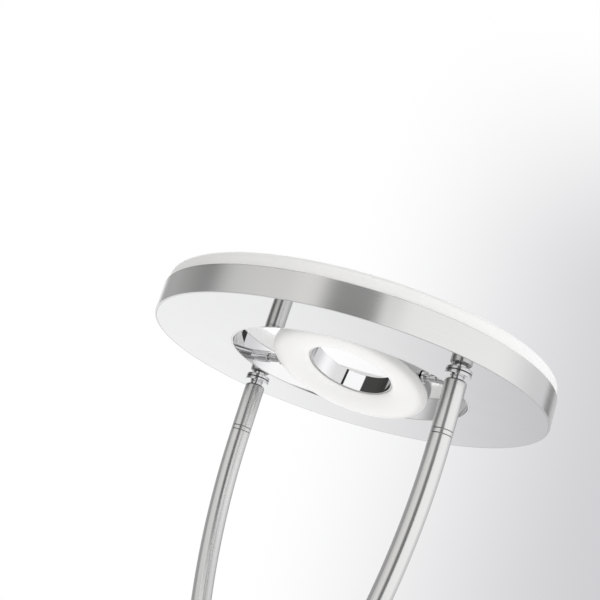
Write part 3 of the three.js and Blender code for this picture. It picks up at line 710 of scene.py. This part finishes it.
# ---- Control box ----
# Two halves of a zinc die casting that clamp round both stems, nickel plated and brushed up and down.
# They close on a plane through the poles; the front half has a hole for each dimmer's stem.
# Zinc brushed on a belt, then nickel plated: the poles' grey sheen, with lines 60 mm long up the box.
# Real lines are under 0.1 mm apart; they are drawn 0.7 mm apart so that they show.
nickel_casting, tree, shader = begin("nickel_brushed_casting", "c3c3c2", 1.0, 0.26)
belt_lines = streaks(tree, (0.7, 0.7, 60), 4.0)
vary(tree, shader, belt_lines, 0.004, "c8c8c7", "b8b8b7", (0.20, 0.32))
control_wall = 3.0
control_corner = 13.0
channel_radius = pole_radius + play
cavity_half = 10.0
stem_hole_radius = 2.6
knob_boxes = {light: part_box(f"{light}_knob") for light in ("uplight", "reading")}
knob_heights = {light: (low.z + high.z) / 2 for light, (low, high) in knob_boxes.items()}
for half, way in (("front", -1), ("back", 1)):
    low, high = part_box(f"control_{half}")
    wide, deep = high.x / MM, max(-low.y, high.y) / MM
    seam = min(abs(low.y), abs(high.y)) / MM
    lean_in = math.asin(seam / channel_radius)
    outline = [(wide, seam)]
    outline += arc(wide - control_corner, deep - control_corner, control_corner, 0, 90, 12)
    outline += arc(control_corner - wide, deep - control_corner, control_corner, 90, 180, 12)
    outline += [(-wide, seam)]
    for x in (-stem_x, stem_x):
        outline += arc(x, 0, channel_radius, 180 - math.degrees(lean_in), math.degrees(lean_in), 20)
    work = bmesh.new()
    corners = [work.verts.new((x * MM, way * y * MM, low.z)) for x, y in outline]
    floor_face = work.faces.new(corners)
    raised = bmesh.ops.extrude_face_region(work, geom=[floor_face])["geom"]
    bmesh.ops.translate(
        work, vec=(0, 0, high.z - low.z), verts=[v for v in raised if isinstance(v, bmesh.types.BMVert)],
    )
    bmesh.ops.recalc_face_normals(work, faces=work.faces)
    for face in work.faces:
        face.smooth = True
    shell = made_of(work, f"control_shell_{half}")
    work = bmesh.new()
    bmesh.ops.create_cube(work, size=1)
    deep_in = (deep - control_wall) * MM
    cavity_tall = high.z - low.z - 2 * control_wall * MM
    at_cavity = Matrix.Translation((0, way * deep_in / 2, (low.z + high.z) / 2))
    cavity_size = Matrix.Diagonal((2 * cavity_half * MM, deep_in, cavity_tall, 1))
    cavity = made_of(work, "cavity", at_cavity @ cavity_size)
    tools = [cavity]
    if way < 0:
        for z in knob_heights.values():
            stem_hole = Matrix.Translation((0, low.y, z)) @ Matrix.Rotation(-math.pi / 2, 4, "X")
            tools.append(drill(stem_hole_radius, -2, 5, stem_hole, 24))
    cut_from(shell, *tools)
    soften = shell.modifiers.new("soft_edges", "BEVEL")
    soften.width = 0.9 * MM
    soften.segments = 3
    soften.limit_method = "ANGLE"
    soften.angle_limit = math.radians(50)
    soften.harden_normals = True
    fit(shell, nickel_casting, "satin_nickel", "root", f"control_{half}")

# ---- Dimmers and their knobs ----
# A moulded dimmer body sits behind each hole. Its knob is turned brass, finely knurled and chrome plated,
# with a notch across the face that points to its setting.
# ABS from a spark-eroded mould: a fine matt grain on near black.
# Real grain is about 0.1 mm; it is drawn at 0.5 mm so that it shows.
abs_black, tree, shader = begin("abs_black_moulded", "1f2022", 0.0, 0.5, IOR=1.53)
place = put(tree, "TexCoord").outputs["Object"]
spark = put(tree, "TexNoise", values={"Scale": 1 / (0.5 * MM), "Detail": 3.0}, links={"Vector": place})
vary(tree, shader, spark.outputs[0], 0.03, "27282a", "191a1b", (0.42, 0.60))
dress(abs_black, "uplight_dimmer", "reading_dimmer", "driver_case", "driver_hatch")
knob_stem = 2.3
knurls = 60
knurl_depth = 0.35
box_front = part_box("control_front")[0].y
knob_shoulder = 2
for light, (low, high) in knob_boxes.items():
    radius = high.x / MM
    behind, face = (box_front - high.y) / MM, (box_front - low.y) / MM
    place = Matrix.Translation((0, box_front, knob_heights[light])) @ Matrix.Rotation(math.pi / 2, 4, "X")
    knob = turned(
        f"{light}_dimmer_knob",
        [
            (0, behind), (knob_stem, behind, broken), (knob_stem, play), (radius, play, broken),
            (radius, 2.2), (radius, 2.6), (radius, face - 2.9), (radius, face - 2.5),
            *arc(radius - knob_shoulder, face - knob_shoulder, knob_shoulder, 0, 90, 6), (0, face),
        ],
        knurls * 4, place,
    )
    back = place.inverted()
    for vertex in knob.data.vertices:
        spot = back @ vertex.co
        away = math.hypot(spot.x, spot.y)
        if away > (radius - 0.05) * MM and 2.4 * MM < spot.z < (face - 2.7) * MM:
            wave = 0.5 - 0.5 * math.cos(knurls * math.atan2(spot.y, spot.x))
            shrink = 1 - knurl_depth * MM * wave / away
            vertex.co = place @ Vector((spot.x * shrink, spot.y * shrink, spot.z))
    work = bmesh.new()
    bmesh.ops.create_cube(work, size=1)
    notch_at = place @ Matrix.Translation((0, (radius / 2 + 1) * MM, face * MM))
    notch = made_of(work, "notch", notch_at @ Matrix.Diagonal((1.2 * MM, (radius - 3) * MM, 1.6 * MM, 1)))
    cut_from(knob, notch)
    fit(knob, chrome_turned, "polished_chrome", f"{light}_knob", f"{light}_knob")

# ---- Base cover ----
# A spun steel dish over the weight, with a round shoulder, nickel plated and brushed round its middle.
# Spun steel brushed as it turned, then nickel plated: a grey sheen in rings round the middle.
# Real grit lines are under 0.1 mm apart; they are drawn 0.9 mm apart so that they show.
nickel_spun = brushed_nickel("nickel_brushed_spun", 0.9, 120, True)
cover_low, cover_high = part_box("base_cover")
base_radius = cover_high.x / MM
cover_bottom, base_top = cover_low.z / MM, cover_high.z / MM
cover_wall, base_shoulder = 1.2, 9.0
shoulder = (base_radius - base_shoulder, base_top - base_shoulder)
cover = turned(
    "base_dish",
    [
        (0, base_top - cover_wall), *arc(*shoulder, base_shoulder - cover_wall, 90, 0),
        (base_radius - cover_wall, cover_bottom), (base_radius, cover_bottom, broken),
        *arc(*shoulder, base_shoulder, 0, 90), (60, base_top), (0, base_top),
    ],
    round_big,
)
grommet_low, grommet_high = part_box("cable_grommet")
grommet_height = (grommet_low.z + grommet_high.z) / 2
at_inlet = Matrix.Translation((0, 0, grommet_height)) @ Matrix.Rotation(-math.pi / 2, 4, "X")
grommet_radius = 5.0
stud_holes = [
    drill(tube_bore, base_top - 4, base_top + 2, Matrix.Translation((x * MM, 0, 0)), 48)
    for x in (-stem_x, stem_x)
]
cut_from(cover, *stud_holes, drill(grommet_radius + play, base_radius - 8, base_radius + 3, at_inlet))
fit(cover, nickel_spun, "satin_nickel", "root", "base_cover")

# ---- Pole collars ----
# Cups turned from brass and chrome plated, one round the foot of each stem.
# The stem stands in the cup, which hides the stud and nut that fix it to the base.
collar_radius, collar_chamfer, collar_floor = 13, 1.5, 1.5
for hand, side in (("left", -1), ("right", 1)):
    low, high = (corner.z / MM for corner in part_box(f"pole_collar_{hand}"))
    collar = turned(
        f"collar_{hand}",
        [
            (collar_radius, low, broken), (collar_radius, high - collar_chamfer, 0.6),
            (collar_radius - collar_chamfer, high, 0.5), (pole_radius + play, high, 0.2),
            (pole_radius + play, low + collar_floor), (tube_bore, low + collar_floor), (tube_bore, low),
        ],
        96, Matrix.Translation((side * stem_x * MM, 0, 0)),
    )
    fit(collar, chrome_turned, "polished_chrome", "root", f"pole_collar_{hand}")

# ---- Weight, foot ring and inlet grommet ----
# A sand-cast iron disc gives the base its weight and stands on a rubber ring.
# The inlet for the lead at the back is a moulded rubber grommet.
# Raw cast iron: dark, dull and pitted by the sand.
# Real sand leaves pits of about 0.4 mm; they are drawn at 1.5 mm so that they show.
iron, tree, shader = begin("iron_sand_cast", "3a3b3d", 0.85, 0.72)
place = put(tree, "TexCoord").outputs["Object"]
sand = put(
    tree, "TexNoise", values={"Scale": 1 / (1.5 * MM), "Detail": 5.0, "Roughness": 0.7},
    links={"Vector": place},
)
vary(tree, shader, sand.outputs[0], 0.25, "4a4b4c", "2a2b2d", (0.6, 0.85))
dress(iron, "base_ballast")

# Moulded rubber: a soft, light-swallowing black with a faint greyish bloom in patches of 3 mm.
rubber, tree, shader = begin("rubber_black_moulded", "18181a", 0.0, 0.8, IOR=1.52)
place = put(tree, "TexCoord").outputs["Object"]
bloom = put(tree, "TexNoise", values={"Scale": 1 / (3 * MM), "Detail": 4.0}, links={"Vector": place})
vary(tree, shader, bloom.outputs[0], 0.02, "222224", "131314", (0.7, 0.9))
foot_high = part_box("foot_ring")[1]
foot_outer, foot_tall = foot_high.x / MM, foot_high.z / MM
foot_inner = foot_outer - 18
foot = turned(
    "rubber_foot",
    [
        (foot_outer, 0, 0.6), (foot_outer, foot_tall, broken),
        (foot_inner, foot_tall, broken), (foot_inner, 0, 0.6),
        # a shallow groove runs round the middle of its sole
        (foot_inner + 6, 0), (foot_inner + 6.5, 0.6), (foot_outer - 6.5, 0.6), (foot_outer - 6, 0),
    ],
    160,
)
fit(foot, rubber, "black_rubber", "root", "foot_ring")
groove_in, groove_out = base_radius - cover_wall - 0.6, base_radius + 0.3
lip_radius, inlet_bore = 7, 3.4
grommet = turned(
    "inlet_grommet",
    [
        (lip_radius, groove_in - 2, 0.4), (lip_radius, groove_in), (grommet_radius, groove_in),
        (grommet_radius, groove_out), (lip_radius, groove_out, 0.2),
        (lip_radius - 0.8, groove_out + 2.2, 0.6),
        (inlet_bore, groove_out + 2.2, 0.5), (inlet_bore, groove_in - 2, 0.4),
    ],
    48, at_inlet,
)
fit(grommet, rubber, "black_rubber", "root", "cable_grommet")

# ---- Reading light: housing and bore ----
# A spun back dish with a turned hoop through its middle, both polished and chrome plated.
# They are pressed together and tilt as one about the pivot line.
rest_tilt = math.radians(12)
at_ring = at_pivot @ Matrix.Rotation(rest_tilt, 4, "X")
# Spun brass, buffed as it turned and chrome plated: a clear mirror whose haze drifts over 20 mm.
chrome_ring = mirror_chrome("chrome_polished_ring", 20)
ring_radius, ring_bore, ring_wall = 62.8, 32.5, 1.2
skirt_low, skirt_high, ring_back = -3.8, 6.0, 12.5
back_radius = 56.5
bore_side = ring_bore + ring_wall + play
housing = turned(
    "ring_housing",
    [
        (ring_radius, skirt_low, broken), (ring_radius, skirt_high, 1.6), (back_radius, ring_back, 1.6),
        (bore_side, ring_back, 0.2), (bore_side, ring_back - ring_wall),
        (back_radius - 0.5, ring_back - ring_wall), (ring_radius - ring_wall, skirt_high - 0.5),
        (ring_radius - ring_wall, skirt_low, 0.2),
    ],
    round_big, at_ring,
)
cut_from(housing, *[drill(pin_radius + play, 50, 70, place) for place in along_pivot.values()])
fit(housing, chrome_ring, "polished_chrome", "reading_light", "reading_housing")
bore_low = -2.1
ring_hoop = turned(
    "ring_bore_hoop",
    [
        (ring_bore + ring_wall, bore_low, broken), (ring_bore + ring_wall, ring_back, broken),
        (ring_bore, ring_back, broken), (ring_bore, bore_low, broken),
    ],
    160, at_ring,
)
fit(ring_hoop, chrome_ring, "polished_chrome", "reading_light", "reading_liner")

# ---- Reading light: opal cover ----
# A moulded opal ring, domed like a lens across its width, snapped in between the housing and the bore.
cover_inner, cover_outer = bore_side, ring_radius - 0.2
inner_edge, outer_edge = bore_low - 0.3, skirt_low - 0.3
dome, lens_wall, fullness = 5.2, 2.0, 2 / 2.5


def lens_section(wall, steps=36):
    """The cover's face, or its inside at a wall's thickness behind it, from the inner edge to the outer."""
    points = []
    middle, half = (cover_inner + cover_outer) / 2, (cover_outer - cover_inner) / 2
    for i in range(steps + 1):
        a = math.pi * (1 - i / steps)
        across = math.copysign(abs(math.cos(a)) ** fullness, math.cos(a))
        r = middle + across * (half - wall)
        edge = inner_edge + (outer_edge - inner_edge) * (r - cover_inner) / (cover_outer - cover_inner)
        points.append((r, edge - (math.sin(a) ** fullness * (dome - wall) if 0 < i < steps else 0)))
    return points


face_line = lens_section(0)
face_width = sum((Vector(b) - Vector(a)).length for a, b in zip(face_line, face_line[1:])) * MM
# The reading cover glows more than the cap, and its colour is painted darker towards its edges as painted
# shade. Its pigment is clouded over 3 mm.
opal_lens = opal_acrylic("acrylic_opal_lens_painted_edge_shade", 3, 0.41, face_width)
lens = turned("reading_opal_lens", face_line + lens_section(lens_wall)[::-1], 192, at_ring)
fit(lens, opal_lens, "opal_acrylic", "reading_light", "reading_diffuser")

# ---- Reading light: pivots ----
# On each side a hollow turned pin is riveted in the ring's wall, passes through a fixed sleeve in the
# opening's wall and is held by a nut behind it. A flange and a collar show on the pin; all polished chrome.
pin_bore, rivet_radius, rivet_long = 1.3, 3.8, 3.5
wall_in = ring_radius - ring_wall - play
pin_flange = {"radius": 5.2, "start": ring_radius + 0.6, "end": ring_radius + 2.6}
pin_collar = {"radius": 3.6, "start": ring_radius + 6.7, "end": ring_radius + 12.2}
nut_tall, pin_past_nut = 4, 3
pin_end = liner_radius + play + nut_tall + pin_past_nut
sleeve_radius, sleeve_start, sleeve_end = 4.5, ring_radius + 14.7, opening_radius - hairline
for hand, turn in (("left", 0), ("right", math.pi)):
    along = at_ring @ Matrix.Rotation(turn, 4, "Z") @ Matrix.Rotation(math.pi / 2, 4, "Y")
    pin = turned(
        f"tilt_pin_{hand}",
        [
            (rivet_radius, wall_in - rivet_long, 0.6), (rivet_radius, wall_in - 0.1, 0.2),
            (pin_radius, wall_in - 0.1), (pin_radius, pin_flange["start"]),
            (pin_flange["radius"], pin_flange["start"], broken),
            (pin_flange["radius"], pin_flange["end"], 0.5),
            (pin_radius, pin_flange["end"]), (pin_radius, pin_collar["start"]),
            (pin_collar["radius"], pin_collar["start"], 0.5), (pin_collar["radius"], pin_collar["end"], 0.5),
            (pin_radius, pin_collar["end"]), (pin_radius, pin_end, broken),
            (pin_bore, pin_end), (pin_bore, wall_in - rivet_long),
        ],
        64, along,
    )
    fit(pin, chrome_turned, "polished_chrome", "reading_light", f"pivot_pin_{hand}")
    sleeve = turned(
        f"tilt_sleeve_{hand}",
        [
            (sleeve_radius, sleeve_start, 0.4), (sleeve_radius, sleeve_end),
            (pin_radius + play, sleeve_end), (pin_radius + play, sleeve_start, 0.2),
        ],
        64, along_pivot[hand],
    )
    fit(sleeve, chrome_turned, "polished_chrome", "root", f"pivot_sleeve_{hand}")
dress(zinc, "pivot_nut_left", "pivot_nut_right")

# ---- Floor ----
# A plain pale studio floor under the lamp, painted matt.
# It fades out into the room, so no edge of it shows.
floor_mesh = bpy.data.meshes.new("floor")
reach = 4.0
floor_corners = [(-reach, -reach, 0), (reach, -reach, 0), (reach, reach, 0), (-reach, reach, 0)]
floor_mesh.from_pydata(floor_corners, [], [(0, 1, 2, 3)])
floor = bpy.data.objects.new("floor", floor_mesh)
bpy.context.scene.collection.objects.link(floor)
floor.location.z = cad_low.z - 0.5 * MM
# Matt emulsion on a smooth board: an even pale grey with no shine.
painted_floor, tree, shader = begin("floor_painted_matt", "cfcfd0", 0.0, 0.6)
place = put(tree, "TexCoord").outputs["Object"]
away = put(tree, "VectorMath", {"operation": "LENGTH"}, links={0: place}).outputs["Value"]
fade = put(
    tree, "MapRange", {"interpolation_type": "SMOOTHSTEP"},
    {"From Min": 1.2, "From Max": 3.0, "To Min": 1.0, "To Max": 0.0}, {"Value": away},
)
tree.links.new(fade.outputs[0], shader.inputs["Alpha"])
floor_mesh.materials.append(painted_floor)
